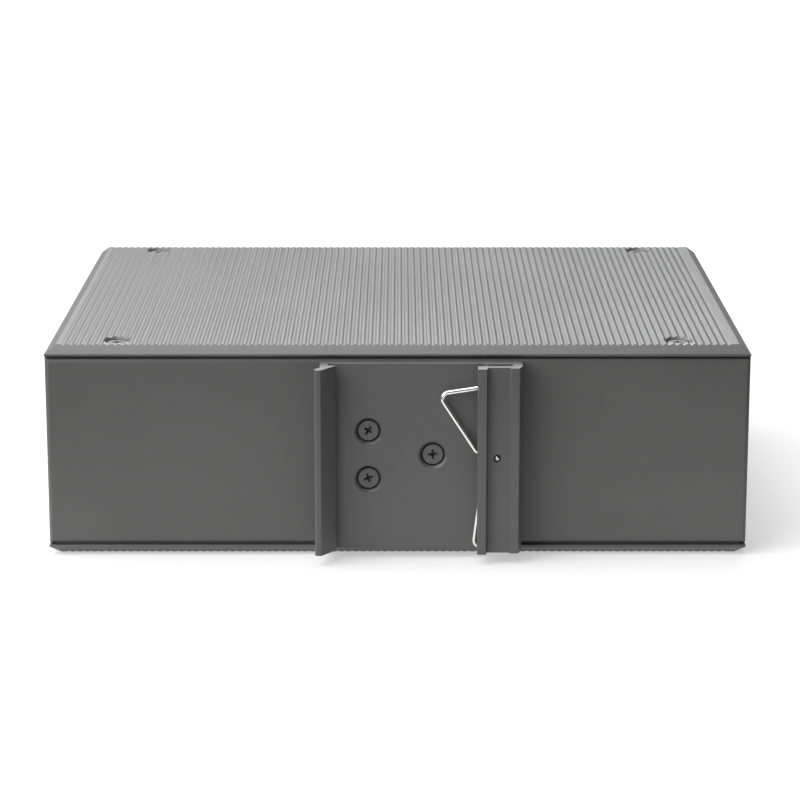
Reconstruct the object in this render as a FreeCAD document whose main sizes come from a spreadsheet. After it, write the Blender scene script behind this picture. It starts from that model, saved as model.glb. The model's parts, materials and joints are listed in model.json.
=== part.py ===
import FreeCAD
import Part
import Sketcher
import math
import os
import re

# DIN rail ethernet switch lying on its side. Millimetres and degrees.
# X runs along the long side, Y from the rail side (-Y) to the port side (+Y), Z from the lower to the upper cover.

SIZES = {
    # housing and covers
    "housing_width": 150, "housing_depth": 110, "housing_height": 46.2,
    "sheet": 1.2, "fold_radius": 1.3, "flange_width": 12, "front_flange_side": 6, "front_flange_strip": 4,
    "cover_edge": 0.45, "cover_bevel_rise": 1.8, "cover_bevel_inset": 2.25, "shadow_gap": 0.3, "step_inset": 1.1,
    "rib_pitch": 1.57, "rib_groove_wide": 0.96, "rib_groove_deep": 0.4, "rib_margin": 1.2,
    # countersunk screws
    "screw_shank": 3, "screw_head": 4.8, "screw_sunk": 0.55, "screw_play": 0.05,
    "cover_screw_side": 15, "cover_screw_inset": 6.3, "cover_screw_tail": 2.0,
    # DIN plate profile and its screws
    "plate_length": 40.65, "plate_drop": 0.475, "plate_base": 2, "hook_left": -16.4, "hook_web": 1.7, "hook_reach": 8,
    "hook_lip_tip": -13.1,
    "hook_slot": 1.5, "hook_lip_edge": 0.5, "hook_ramp_start": -16.15, "hook_ear": 1.1, "hook_ear_deep": 1.0,
    "hook_ear_root": 2.4, "hook_ear_round": 0.45,
    "clip_lip_left": 16.9, "clip_lip_wide": 1.85, "clip_lip_reach": 7.2, "clip_roof": 1.45, "clip_slot": 1.65,
    "clip_step_run": 0.35, "clip_floor": 2.5, "clip_floor_left": 19.0, "clip_floor_run": 0.6,
    "clip_wall_inner": 24.3, "clip_wall": 2.1, "clip_ridge": 2.85, "clip_ridge_reach": 6.2, "clip_chamfer": 0.7,
    "clip_chamfer_deep": 2.0,
    "plate_pair_x": -6.2, "plate_pair_gap": 10.5, "plate_single_x": 7.5, "plate_screw_drop": 0.2,
    "plate_screw_tail": 3.2,
    # wire spring and its stake
    "stake_x": 21.1, "stake_width": 1.9, "stake_play": 0.25, "dimple_deep": 0.8, "stake_gap": 0.15,
    "wire": 1.0, "spring_turn": 13, "spring_slope": 70.1, "spring_toe": 4.4, "spring_apex_radius": 1.4,
    "spring_neck_radius": 1.1, "spring_upper": 16, "spring_upper_meet": 3.37, "spring_upper_tail": 0.75,
    "spring_lower": 18.95, "spring_lower_meet": 1.75, "spring_lower_tail": 1.5,
    # front panel
    "panel": 1.5, "panel_screw_side": 3.6, "panel_screw_tail": 3.0,
    "cutout_play": 0.25,
    # board and its spacers
    "board": 1.6, "board_side_gap": 2.3, "board_rear_gap": 4, "board_front_gap": 0.8,
    "spacer_high": 5, "spacer_across": 5.5, "spacer_side": 6.6, "spacer_end": 18.5, "board_hole_play": 0.1,
    "board_screw_across": 5.5, "board_screw_high": 1.8,
    # stacked jacks
    "jack_x": 0, "jack_pitch": 14, "jack_side": 1, "jack_high": 26.6, "jack_deep": 25, "jack_proud": 0.4,
    "port_wide": 11.8, "port_high": 6.9, "port_deep": 12.5, "port_middle": 5.2, "latch_wide": 6.2, "latch_high": 1.9,
    "shield": 0.3, "contact_pitch": 1.02, "contact_wide": 0.45, "contact_thick": 0.35, "contact_rise": 3.2,
    "contact_run": 6.5, "contact_start": 3.2,
    # fibre cages
    "cage_x": 40.2, "cage_pitch": 16.4, "cage_wide": 14.6, "cage_high": 10.2, "cage_deep": 48, "cage_wall": 0.5,
    "cage_proud": 1.0, "edge_wide": 12.5, "edge_high": 6.0, "edge_deep": 9, "edge_slot_wide": 9.5,
    "edge_slot_high": 1.2, "edge_slot_deep": 6, "edge_rear_gap": 1.5,
    # power header
    "header_x": -56, "header_wide": 22, "header_high": 9, "header_deep": 14.5, "header_wall": 1.1,
    "header_trough": 12, "pin_pitch": 5.08, "pin_size": 1.0, "pin_long": 7.0,
    # small controls in the column beside the header
    "dip_x": -40.5, "dip_wide": 6.4, "dip_high": 6.4, "dip_deep": 5, "dip_pitch": 2.54, "dip_rear_play": 0.2,
    "lever_wide": 1.2, "lever_high": 1.3, "lever_deep": 1.4, "lever_proud": 0.7, "lever_travel": 1.4,
    "lever_play": 0.2, "dip_window": 6.0,
    "reset_x": -33.2, "reset_block": 5.6, "reset_high": 6.4, "reset_deep": 5, "reset_width": 2.4, "reset_play": 0.3,
    "reset_travel": 0.6, "reset_sunk": 0.4, "reset_grip": 1.6,
    "guide_x": -37, "guide_pitch": 5, "guide_width": 2.4, "guide_z": 31, "guide_back": 11,
    "guide_proud": 0.3, "guide_play": 0.1, "led_wide": 2.0, "led_high": 0.8,
    # inside the housing
    "chip_x": 10, "chip_y": -4, "chip_wide": 20, "chip_thick": 1.4, "pad_wide": 18, "pad_thick": 1.0, "block_wide": 30,
    "magnet_pitch": 14, "magnet_wide": 12, "magnet_deep": 9, "magnet_high": 6, "magnet_gap": 5,
    "cap_x": -60, "cap_y": 14, "cap_pitch": 13, "cap_wide": 10, "cap_high": 16, "coil_x": -42, "coil_y": 8,
    "coil_wide": 12, "coil_high": 7,
    # ground screw on the front panel
    "ground_x": -56, "ground_z": 32, "ground_shank": 4, "ground_head": 8, "ground_head_high": 2.4,
    "ground_tail": 5.5,
}

# What follows from the sizes above; every cell reads only cells that stand before it.
DERIVED = {
    "half_wide": "housing_width / 2",
    "front_reach": "ground_head_high",
    "rear_face": "(hook_reach - front_reach - housing_depth) / 2",
    "front_face": "rear_face + housing_depth",
    "cover_thick": "cover_edge + cover_bevel_rise + shadow_gap",
    "shell_low": "cover_thick",
    "shell_high": "housing_height - cover_thick",
    "middle_z": "housing_height / 2",
    "shell_front": "front_face - panel",
    "inner_front": "shell_front - sheet",
    "flange_low": "shell_low + sheet",
    "flange_high": "shell_high - sheet",
    "cover_screw_x": "half_wide - cover_screw_side",
    "screw_cone": "(screw_head - screw_shank) / 2",
    "screw_hole": "screw_shank + 2 * screw_play",
    "sink_mouth": "screw_head + 2 * screw_sunk",
    "rib_span": "housing_width - 2 * cover_bevel_inset - 2 * rib_margin - rib_groove_wide",
    "screw_deep": "screw_sunk + screw_cone",
    "plate_low": "middle_z - plate_drop - plate_length / 2",
    "plate_screw_z": "middle_z - plate_screw_drop",
    "clip_roof_low": "clip_floor + clip_slot",
    "clip_front": "clip_roof_low + clip_roof",
    "clip_right": "clip_wall_inner + clip_wall",
    "spring_level": "rear_face - clip_floor - clip_slot / 2",
    "spring_loop": "stake_width / 2 + stake_play + wire / 2",
    "spacer_x": "half_wide - spacer_side",
    "spacer_rear": "rear_face + spacer_end",
    "spacer_front": "front_face - spacer_end",
    "board_low": "flange_low + spacer_high",
    "board_top": "board_low + board",
    "board_half": "half_wide - sheet - board_side_gap",
    "board_rear": "rear_face + sheet + board_rear_gap",
    "board_front": "inner_front - board_front_gap",
    "jack_half": "2 * jack_pitch + jack_side",
    "jack_front": "front_face + jack_proud",
    "jack_back": "jack_front - jack_deep",
    "jack_middle": "board_top + jack_high / 2",
    "port_near": "port_middle / 2",
    "port_far": "port_near + port_high",
    "port_latch": "port_far + latch_high",
    "port_back": "jack_front - port_deep",
    "port_first": "jack_x - 1.5 * jack_pitch",
    "cage_front": "front_face + cage_proud",
    "cage_back": "cage_front - cage_deep",
    "edge_front": "cage_back + edge_rear_gap + edge_deep",
    "header_front": "front_face",
    "trough_back": "header_front - header_trough",
    "control_z": "board_top + dip_high / 2",
    "dip_front": "shell_front - dip_rear_play",
    "lever_slot": "lever_high + lever_travel + 2 * lever_play",
    "lever_back": "dip_front - lever_deep",
    "reset_front": "inner_front - reset_travel",
    "reset_tip": "front_face - reset_sunk",
    "reset_root": "reset_front - reset_grip",
    "guide_drop": "front_face - guide_back",
    "led_top": "board_top + led_high",
    "heat_top": "board_low - chip_thick - pad_thick",
    "magnet_front": "jack_back - shield - magnet_gap",
}

os.makedirs("parts", exist_ok=True)
doc = FreeCAD.newDocument("Switch")
dims = doc.addObject("Spreadsheet::Sheet", "Dims")
for row, (name, number) in enumerate(list(SIZES.items()) + list(DERIVED.items()), 1):
    dims.set(f"A{row}", name)
    dims.set(f"B{row}", str(number) if name in SIZES else "=" + number)
    dims.setAlias(f"B{row}", name)
doc.recompute()
NAMES = set(SIZES) | set(DERIVED)


def tied(text):
    """Point every size named in an expression at the sheet."""
    return re.sub(r"[a-z_]+", lambda word: "Dims." + word[0] if word[0] in NAMES else word[0], str(text))


def value(text):
    return float(dims.evalExpression(tied(text)))


def new_body(label):
    made = doc.addObject("PartDesign::Body", label)
    made.Label = label
    made.AllowCompound = True
    return made


def origin_piece(owner, role):
    return next(item for item in owner.Origin.OriginFeatures if item.Role == role)


def new_sketch(owner, role, lift):
    """A sketch on one of the body's own planes: XY looks down from +Z, XZ stands at y = -lift, YZ at x = lift."""
    drawn = owner.newObject("Sketcher::SketchObject", "Sketch")
    drawn.AttachmentSupport = [(origin_piece(owner, role), "")]
    drawn.MapMode = "FlatFace"
    drawn.setExpression("AttachmentOffset.Base.z", tied(lift))
    return drawn


def hold(drawn, kind, *where, by):
    index = drawn.addConstraint(Sketcher.Constraint(kind, *where, value(by)))
    drawn.setExpression(f"Constraints[{index}]", tied(by))


def circle(drawn, x, y, width):
    centre = FreeCAD.Vector(value(x), value(y), 0)
    index = drawn.addGeometry(Part.Circle(centre, FreeCAD.Vector(0, 0, 1), value(width) / 2))
    hold(drawn, "DistanceX", -1, 1, index, 3, by=x)
    hold(drawn, "DistanceY", -1, 1, index, 3, by=y)
    hold(drawn, "Diameter", index, by=width)


def outline(drawn, corners, closed=True):
    """Straight runs between corners (x, y) or (x, y, radius), each corner held by the sheet."""
    spots = [FreeCAD.Vector(value(corner[0]), value(corner[1]), 0) for corner in corners]
    radii = [value(corner[2]) if len(corner) > 2 else 0 for corner in corners]
    count = len(corners)
    leave = list(spots)
    reach = list(spots)
    bends = {}
    for i, radius in enumerate(radii):
        if not radius:
            continue
        before = (spots[i] - spots[i - 1]).normalize()
        after = (spots[(i + 1) % count] - spots[i]).normalize()
        left = before.x * after.y - before.y * after.x > 0
        back = radius * math.tan(math.acos(before.dot(after)) / 2)
        reach[i] = spots[i] - before * back
        leave[i] = spots[i] + after * back
        side = FreeCAD.Vector(-before.y, before.x, 0) * (radius if left else -radius)
        bends[i] = (reach[i] + side, radius, left)
    runs = []
    for i in range(count if closed else count - 1):
        after = (i + 1) % count
        runs.append(drawn.addGeometry(Part.LineSegment(leave[i], reach[after])))
    links = []
    for i, corner in enumerate(corners):
        inner = closed or 0 < i < count - 1
        if i not in bends:
            if inner:
                links.append(Sketcher.Constraint("Coincident", runs[i - 1], 2, runs[i % len(runs)], 1))
            continue
        centre, radius, left = bends[i]
        first = reach[i] if left else leave[i]
        last = leave[i] if left else reach[i]
        turns = [math.atan2(spot.y - centre.y, spot.x - centre.x) for spot in (first, last)]
        if turns[1] < turns[0]:
            turns[1] += 2 * math.pi
        ring = Part.Circle(centre, FreeCAD.Vector(0, 0, 1), radius)
        arc = drawn.addGeometry(Part.ArcOfCircle(ring, turns[0], turns[1]))
        mark = drawn.addGeometry(Part.Point(spots[i]), True)
        links.append(Sketcher.Constraint("Tangent", runs[i - 1], 2, arc, 1 if left else 2))
        links.append(Sketcher.Constraint("Tangent", arc, 2 if left else 1, runs[i], 1))
        links.append(Sketcher.Constraint("PointOnObject", mark, 1, runs[i - 1]))
        links.append(Sketcher.Constraint("PointOnObject", mark, 1, runs[i]))
        bends[i] = (arc, mark)
    drawn.addConstraint(links)
    for i, corner in enumerate(corners):
        if i in bends:
            hold(drawn, "Radius", bends[i][0], by=corner[2])
            where = (bends[i][1], 1)
        elif i < len(runs):
            where = (runs[i], 1)
        else:
            where = (runs[-1], 2)
        hold(drawn, "DistanceX", -1, 1, *where, by=corner[0])
        hold(drawn, "DistanceY", -1, 1, *where, by=corner[1])


def draw(drawn, form):
    if isinstance(form, tuple):
        circle(drawn, *form)
    else:
        outline(drawn, form)


def rectangle(x_low, x_high, y_low, y_high):
    return [(x_low, y_low), (x_high, y_low), (x_high, y_high), (x_low, y_high)]


def feature(owner, kind, drawn, length, backwards):
    made = owner.newObject("PartDesign::" + kind, kind)
    made.Profile = drawn
    made.Reversed = backwards
    made.setExpression("Length", tied(length))
    drawn.Visibility = False
    return made


def rise(owner, low, form, high):
    """A prism from z = low up to z = high."""
    drawn = new_sketch(owner, "XY_Plane", low)
    draw(drawn, form)
    return feature(owner, "Pad", drawn, f"({high}) - ({low})", False)


def sink(owner, low, form, high):
    """A cut from z = low up to z = high."""
    drawn = new_sketch(owner, "XY_Plane", low)
    draw(drawn, form)
    return feature(owner, "Pocket", drawn, f"({high}) - ({low})", True)


def extend(owner, front, form, back):
    """A prism from y = front back to y = back, its form drawn in X and Z."""
    drawn = new_sketch(owner, "XZ_Plane", f"-({front})")
    draw(drawn, form)
    return feature(owner, "Pad", drawn, f"({front}) - ({back})", False)


def bore(owner, front, form, back):
    """A cut from y = front back to y = back, its form drawn in X and Z."""
    drawn = new_sketch(owner, "XZ_Plane", f"-({front})")
    draw(drawn, form)
    return feature(owner, "Pocket", drawn, f"({front}) - ({back})", True)


def spin(owner, role, lift, axis_x, profile, cut=False):
    """Turn a profile of (distance from axis, height) pairs about the upright line at axis_x."""
    drawn = new_sketch(owner, role, lift)
    low = FreeCAD.Vector(value(axis_x), -200, 0)
    high = FreeCAD.Vector(value(axis_x), 200, 0)
    axis = drawn.addGeometry(Part.LineSegment(low, high), True)
    drawn.addConstraint(Sketcher.Constraint("Vertical", axis))
    drawn.addConstraint(Sketcher.Constraint("DistanceY", -1, 1, axis, 1, -200.0))
    drawn.addConstraint(Sketcher.Constraint("DistanceY", -1, 1, axis, 2, 200.0))
    hold(drawn, "DistanceX", -1, 1, axis, 1, by=axis_x)
    outline(drawn, [(f"({axis_x}) + ({out})", height) for out, height in profile])
    made = owner.newObject("PartDesign::Groove" if cut else "PartDesign::Revolution", "Turned")
    made.Profile = drawn
    made.ReferenceAxis = (drawn, ["Axis0"])
    made.Angle = 360
    drawn.Visibility = False
    return made


def repeat(owner, originals, role, length, count):
    made = owner.newObject("PartDesign::LinearPattern", "Row")
    made.Originals = originals
    made.Direction = (origin_piece(owner, role), [""])
    made.setExpression("Length", tied(length))
    made.setExpression("Occurrences", tied(count))
    owner.Tip = made
    return made


def block(label, low, form, high):
    owner = new_body(label)
    rise(owner, low, form, high)
    return owner


def rounded_edges(owner, base, radius, wanted):
    """Fillet the edges of base whose middle passes the test."""
    doc.recompute()
    names = []
    for index, edge in enumerate(base.Shape.Edges, 1):
        if wanted(edge, edge.valueAt((edge.FirstParameter + edge.LastParameter) / 2)):
            names.append(f"Edge{index}")
    made = owner.newObject("PartDesign::Fillet", "Rounded")
    made.Base = (base, names)
    made.setExpression("Radius", tied(radius))
    return made


def near(a, text):
    return abs(a - value(text)) < 1e-4


def ring(x, y, width):
    """The corners of a many-sided figure as wide as a screw or its hole, which come in dozens."""
    return [(f"{x} + {width} / 2 * cos({turn})", f"{y} + {width} / 2 * sin({turn})") for turn in range(0, 360, 15)]


def cone(owner, role, kind, x, y, ends):
    """Join two many-sided figures of given (lift, width)."""
    rims = []
    for lift, width in ends:
        rims.append(new_sketch(owner, role, lift))
        outline(rims[-1], ring(x, y, width))
        rims[-1].Visibility = False
    made = owner.newObject("PartDesign::" + kind, "Cone")
    made.Profile = rims[0]
    made.Sections = rims[1:]
    made.Ruled = True
    return made


def hexagon(x, y, across):
    point, half = f"{across} / 2 * tan(30)", f"{across} / 2"
    return [(f"{x} + {half}", f"{y} - {point}"), (f"{x} + {half}", f"{y} + {point}"), (x, f"{y} + 2 * {point}"),
            (f"{x} - {half}", f"{y} + {point}"), (f"{x} - {half}", f"{y} - {point}"), (x, f"{y} - 2 * {point}")]


# ---------------------------------------------------------------- side covers
def side_cover(label, outer, sign):
    """Ribbed, bevelled plate: outer is the z of its ribbed face, sign is 1 for the upper cover and -1 for the lower."""
    owner = new_body(label)
    level = {name: f"{outer} - ({sign}) * ({depth})" for name, depth in {
        "top": "0", "bevel": "cover_bevel_rise", "edge": "cover_bevel_rise + cover_edge",
        "seat": "cover_thick", "groove": "rib_groove_deep"}.items()}
    outside = rectangle("-half_wide", "half_wide", "rear_face", "front_face")
    inset = "cover_bevel_inset"
    inside = rectangle(f"{inset} - half_wide", f"half_wide - {inset}", f"rear_face + {inset}", f"front_face - {inset}")
    edge = new_sketch(owner, "XY_Plane", level["edge"])
    outline(edge, outside)
    slab = feature(owner, "Pad", edge, "cover_edge", sign < 0)
    broad = new_sketch(owner, "XY_Plane", level["bevel"])
    outline(broad, outside)
    narrow = new_sketch(owner, "XY_Plane", level["top"])
    outline(narrow, inside)
    bevel = owner.newObject("PartDesign::AdditiveLoft", "Bevel")
    bevel.Profile = broad
    bevel.Sections = [narrow]
    bevel.Ruled = True
    step = new_sketch(owner, "XY_Plane", level["seat"])
    outline(step, rectangle("step_inset - half_wide", "half_wide - step_inset",
                            "rear_face + step_inset", "front_face - step_inset"))
    feature(owner, "Pad", step, "shadow_gap", sign < 0)
    for y in ("rear_face + cover_screw_inset", "front_face - cover_screw_inset"):
        through = new_sketch(owner, "XY_Plane", level["seat"])
        outline(through, ring("-cover_screw_x", y, "screw_hole"))
        hole = feature(owner, "Pocket", through, "cover_thick", sign > 0)
        mouth = cone(owner, "XY_Plane", "SubtractiveLoft", "-cover_screw_x", y,
                     [(f"{outer} - ({sign}) * (screw_deep + screw_play)", "screw_hole"), (outer, "sink_mouth")])
        repeat(owner, [hole, mouth], "X_Axis", "2 * cover_screw_x", "2")
    ribs = new_sketch(owner, "XZ_Plane", "-(rear_face + housing_depth / 2)")
    first = "cover_bevel_inset + rib_margin + rib_groove_wide / 2 - half_wide"
    outline(ribs, [(f"{first} - rib_groove_wide / 2", level["top"]), (first, level["groove"]),
                   (f"{first} + rib_groove_wide / 2", level["top"])])
    groove = owner.newObject("PartDesign::Pocket", "RibGroove")
    groove.Profile = ribs
    groove.Midplane = True
    groove.setExpression("Length", tied("2 * housing_depth"))
    steps = "floor(rib_span / rib_pitch)"
    repeat(owner, [groove], "X_Axis", f"rib_pitch * {steps}", f"{steps} + 1")
    return owner


def cover_screws(label, outer, sign):
    owner = new_body(label)
    face = f"{outer} - ({sign}) * screw_sunk"
    neck = f"{outer} - ({sign}) * screw_deep"
    tail = f"{outer} - ({sign}) * (cover_thick + sheet + cover_screw_tail)"
    for y in ("rear_face + cover_screw_inset", "front_face - cover_screw_inset"):
        stem = new_sketch(owner, "XY_Plane", tail)
        outline(stem, ring("-cover_screw_x", y, "screw_shank"))
        shaft = feature(owner, "Pad", stem, "cover_thick + sheet + cover_screw_tail - screw_deep", sign < 0)
        head = cone(owner, "XY_Plane", "AdditiveLoft", "-cover_screw_x", y, [(neck, "screw_shank"), (face, "screw_head")])
        repeat(owner, [shaft, head], "X_Axis", "2 * cover_screw_x", "2")
    return owner


side_cover_upper = side_cover("side_cover_upper", "housing_height", 1)
side_cover_lower = side_cover("side_cover_lower", "0", -1)
cover_screws_upper = cover_screws("cover_screws_upper", "housing_height", 1)
cover_screws_lower = cover_screws("cover_screws_lower", "0", -1)

# ---------------------------------------------------------------- folded housing
housing = new_body("housing")
shell = rise(housing, "shell_low", rectangle("-half_wide", "half_wide", "rear_face", "shell_front"), "shell_high")


def folded(edge, middle):
    upright = near(middle.z, "middle_z") and near(middle.y, "rear_face")
    long_fold = near(middle.y, "rear_face") and near(middle.x, "0")
    return upright or long_fold


rounded_edges(housing, shell, "fold_radius", folded)
sink(housing, "flange_low", rectangle("sheet - half_wide", "half_wide - sheet", "rear_face + sheet", "inner_front"),
     "flange_high")
sink(housing, "0", rectangle("flange_width - half_wide", "half_wide - flange_width", "rear_face + flange_width",
                             "inner_front - flange_width"), "housing_height")
bore(housing, "front_face", rectangle("front_flange_side - half_wide", "half_wide - front_flange_side",
                                      "flange_low + front_flange_strip", "flange_high - front_flange_strip"),
     "inner_front - sheet")
for y in ("rear_face + cover_screw_inset", "front_face - cover_screw_inset"):
    tapped = sink(housing, "0", ring("-cover_screw_x", y, "screw_hole"), "housing_height")
    repeat(housing, [tapped], "X_Axis", "2 * cover_screw_x", "2")
for x, z, count in (("plate_pair_x", "plate_screw_z - plate_pair_gap / 2", 2), ("plate_single_x", "plate_screw_z", 1)):
    rear_hole = bore(housing, "rear_face + 2 * sheet", (x, z, "screw_hole"), "rear_face - sheet")
    if count > 1:
        repeat(housing, [rear_hole], "Z_Axis", "plate_pair_gap", str(count))
front_hole = bore(housing, "front_face", ring("panel_screw_side - half_wide", "middle_z", "screw_hole"),
                  "inner_front - sheet")
repeat(housing, [front_hole], "X_Axis", "housing_width - 2 * panel_screw_side", "2")

# ---------------------------------------------------------------- front panel
front_panel = new_body("front_panel")
extend(front_panel, "front_face", rectangle("-half_wide", "half_wide", "shell_low", "shell_high"), "shell_front")
play = "cutout_play"
cutouts = [
    rectangle(f"jack_x - jack_half - shield - {play}", f"jack_x + jack_half + shield + {play}",
              f"board_top - {play}", f"board_top + jack_high + shield + {play}"),
    rectangle(f"cage_x - cage_wide / 2 - {play}", f"cage_x + cage_wide / 2 + {play}",
              f"board_top - {play}", f"board_top + cage_high + {play}"),
    rectangle(f"cage_x + cage_pitch - cage_wide / 2 - {play}", f"cage_x + cage_pitch + cage_wide / 2 + {play}",
              f"board_top - {play}", f"board_top + cage_high + {play}"),
    rectangle(f"header_x - header_wide / 2 - {play}", f"header_x + header_wide / 2 + {play}",
              f"board_top - {play}", f"board_top + header_high + {play}"),
    rectangle("dip_x - dip_window / 2", "dip_x + dip_window / 2", "control_z - dip_window / 2",
              "control_z + dip_window / 2"),
    ("reset_x", "control_z", "reset_width + 2 * reset_play"),
    ring("ground_x", "ground_z", "(ground_shank + 2 * screw_play)"),
]
for form in cutouts:
    bore(front_panel, "front_face", form, "shell_front")
guide_hole = bore(front_panel, "front_face", rectangle(
    "guide_x - guide_pitch - guide_width / 2 - guide_play", "guide_x - guide_pitch + guide_width / 2 + guide_play",
    "guide_z - guide_width / 2 - guide_play", "guide_z + guide_width / 2 + guide_play"), "shell_front")
repeat(front_panel, [guide_hole], "X_Axis", "2 * guide_pitch", "3")
first = "panel_screw_side - half_wide"
panel_hole = bore(front_panel, "front_face", ring(first, "middle_z", "screw_hole"), "shell_front")
panel_mouth = cone(front_panel, "XZ_Plane", "SubtractiveLoft", first, "middle_z",
                   [("screw_deep + screw_play - front_face", "screw_hole"), ("-front_face", "sink_mouth")])
repeat(front_panel, [panel_hole, panel_mouth], "X_Axis", "housing_width - 2 * panel_screw_side", "2")
front_panel_screws = new_body("front_panel_screws")
panel_stem = extend(front_panel_screws, "front_face - screw_deep", ring(first, "middle_z", "screw_shank"),
                    "inner_front - panel_screw_tail")
panel_head = cone(front_panel_screws, "XZ_Plane", "AdditiveLoft", first, "middle_z",
                  [("screw_deep - front_face", "screw_shank"), ("screw_sunk - front_face", "screw_head")])
repeat(front_panel_screws, [panel_stem, panel_head], "X_Axis", "housing_width - 2 * panel_screw_side", "2")

# ---------------------------------------------------------------- DIN plate, one extrusion
din_plate = new_body("din_plate")


def out(height):
    return f"rear_face - ({height})"


PLATE_PROFILE = [
    ("hook_left", out("0")),
    ("hook_left", out("hook_reach - hook_ear_root")),
    ("hook_left - hook_ear", out("hook_reach - hook_ear_deep"), "hook_ear_round"),
    ("hook_left - hook_ear", out("hook_reach"), "hook_ear_round"),
    ("hook_ramp_start", out("hook_reach")),
    ("hook_lip_tip", out("plate_base + hook_slot + hook_lip_edge")),
    ("hook_lip_tip", out("plate_base + hook_slot")),
    ("hook_left + hook_web", out("plate_base + hook_slot")),
    ("hook_left + hook_web", out("plate_base")),
    ("clip_floor_left - clip_floor_run", out("plate_base")),
    ("clip_floor_left", out("clip_floor")),
    ("clip_wall_inner", out("clip_floor")),
    ("clip_wall_inner", out("clip_roof_low")),
    ("clip_lip_left", out("clip_roof_low")),
    ("clip_lip_left", out("clip_lip_reach")),
    ("clip_lip_left + clip_lip_wide", out("clip_lip_reach")),
    ("clip_lip_left + clip_lip_wide + clip_step_run", out("clip_front")),
    ("clip_right - clip_ridge", out("clip_front")),
    ("clip_right - clip_ridge + clip_step_run", out("clip_ridge_reach")),
    ("clip_right - clip_chamfer", out("clip_ridge_reach")),
    ("clip_right", out("clip_ridge_reach - clip_chamfer_deep")),
    ("clip_right", out("0")),
]
rise(din_plate, "plate_low", PLATE_PROFILE, "plate_low + plate_length")
PLATE_HOLE = [("0", out("plate_base + 1")), ("sink_mouth / 2", out("plate_base + 1")),
              ("sink_mouth / 2", out("plate_base")),
              ("screw_hole / 2", out("plate_base - screw_deep - screw_play")),
              ("screw_hole / 2", out("-1")), ("0", out("-1"))]
PLATE_SCREW = [("0", out("plate_base - screw_sunk")), ("screw_head / 2", out("plate_base - screw_sunk")),
               ("screw_shank / 2", out("plate_base - screw_deep")),
               ("screw_shank / 2", out("-sheet - plate_screw_tail")), ("0", out("-sheet - plate_screw_tail"))]
din_plate_screws = new_body("din_plate_screws")
for x, z, count in (("plate_pair_x", "plate_screw_z - plate_pair_gap / 2", 2), ("plate_single_x", "plate_screw_z", 1)):
    hole = spin(din_plate, "XY_Plane", z, x, PLATE_HOLE, cut=True)
    shaft = spin(din_plate_screws, "XY_Plane", z, x, PLATE_SCREW)
    if count > 1:
        repeat(din_plate, [hole], "Z_Axis", "plate_pair_gap", str(count))
        repeat(din_plate_screws, [shaft], "Z_Axis", "plate_pair_gap", str(count))
stake = extend(din_plate, out("clip_floor + stake_gap"), ("stake_x", "middle_z", "stake_width"),
               out("clip_roof_low + clip_roof / 2"))
spin(din_plate, "XY_Plane", "middle_z", "stake_x",
     [("0", out("clip_front + 1")), ("stake_width / 2", out("clip_front + 1")),
      ("stake_width / 2", out("clip_front")), ("0", out("clip_front - dimple_deep"))], cut=True)

# ---------------------------------------------------------------- wire spring, hung on the stake
rail_spring = new_body("rail_spring")


def swung(along, across):
    """A point of the spring's own frame, turned about the stake to where it hangs."""
    x = f"stake_x + ({along}) * cos(spring_turn) - ({across}) * sin(spring_turn)"
    z = f"middle_z + ({along}) * sin(spring_turn) + ({across}) * cos(spring_turn)"
    return x, z


def leg(half, side):
    """Tail, apex and neck of one half of the spring: side is 1 for the upper half and -1 for the lower."""
    apex = f"{half}_meet + {half} / tan(spring_slope)"
    neck = f"{half}_meet + spring_loop / tan(spring_slope)"
    tail = f"{half} - ({apex} - {half}_tail) * tan(spring_toe)"
    return [swung(f"-{half}_tail", f"{side} * ({tail})"),
            swung(f"-({apex})", f"{side} * {half}") + ("spring_apex_radius",),
            swung(f"-({neck})", f"{side} * spring_loop") + ("spring_neck_radius",)]


wire_path = new_sketch(rail_spring, "XZ_Plane", "-spring_level")
outline(wire_path, [
    *leg("spring_upper", 1),
    swung("spring_loop", "spring_loop") + ("spring_loop - 0.001",),
    swung("spring_loop", "-spring_loop") + ("spring_loop - 0.001",),
    *reversed(leg("spring_lower", -1)),
], closed=False)
wire_path.Visibility = False
wire_end = rail_spring.newObject("Sketcher::SketchObject", "WireSection")
wire_end.AttachmentSupport = [(wire_path, "Edge1")]
wire_end.MapMode = "NormalToEdge"
flat, corner = "wire / 2", "wire / 2 * tan(22.5)"
outline(wire_end, [(flat, f"-{corner}"), (flat, corner), (corner, flat), (f"-{corner}", flat),
                   (f"-{flat}", corner), (f"-{flat}", f"-{corner}"), (f"-{corner}", f"-{flat}"),
                   (corner, f"-{flat}")])
bent_wire = rail_spring.newObject("PartDesign::AdditivePipe", "BentWire")
bent_wire.Profile = wire_end
bent_wire.Spine = (wire_path, [])

# ---------------------------------------------------------------- circuit board and what carries it
main_board = block("main_board", "board_low", rectangle("-board_half", "board_half", "board_rear", "board_front"),
                   "board_top")
board_spacers = new_body("board_spacers")
board_screws = new_body("board_screws")
for y in ("spacer_rear", "spacer_front"):
    board_hole = sink(main_board, "board_low", hexagon("-spacer_x", y, "(screw_shank + 2 * board_hole_play)"),
                      "board_top")
    repeat(main_board, [board_hole], "X_Axis", "2 * spacer_x", "2")
    post = rise(board_spacers, "flange_low", hexagon("-spacer_x", y, "spacer_across"), "board_low")
    repeat(board_spacers, [post], "X_Axis", "2 * spacer_x", "2")
    stem = rise(board_screws, "board_low", hexagon("-spacer_x", y, "screw_shank"), "board_top")
    head = rise(board_screws, "board_top", hexagon("-spacer_x", y, "board_screw_across"),
                "board_top + board_screw_high")
    repeat(board_screws, [stem, head], "X_Axis", "2 * spacer_x", "2")

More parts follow.
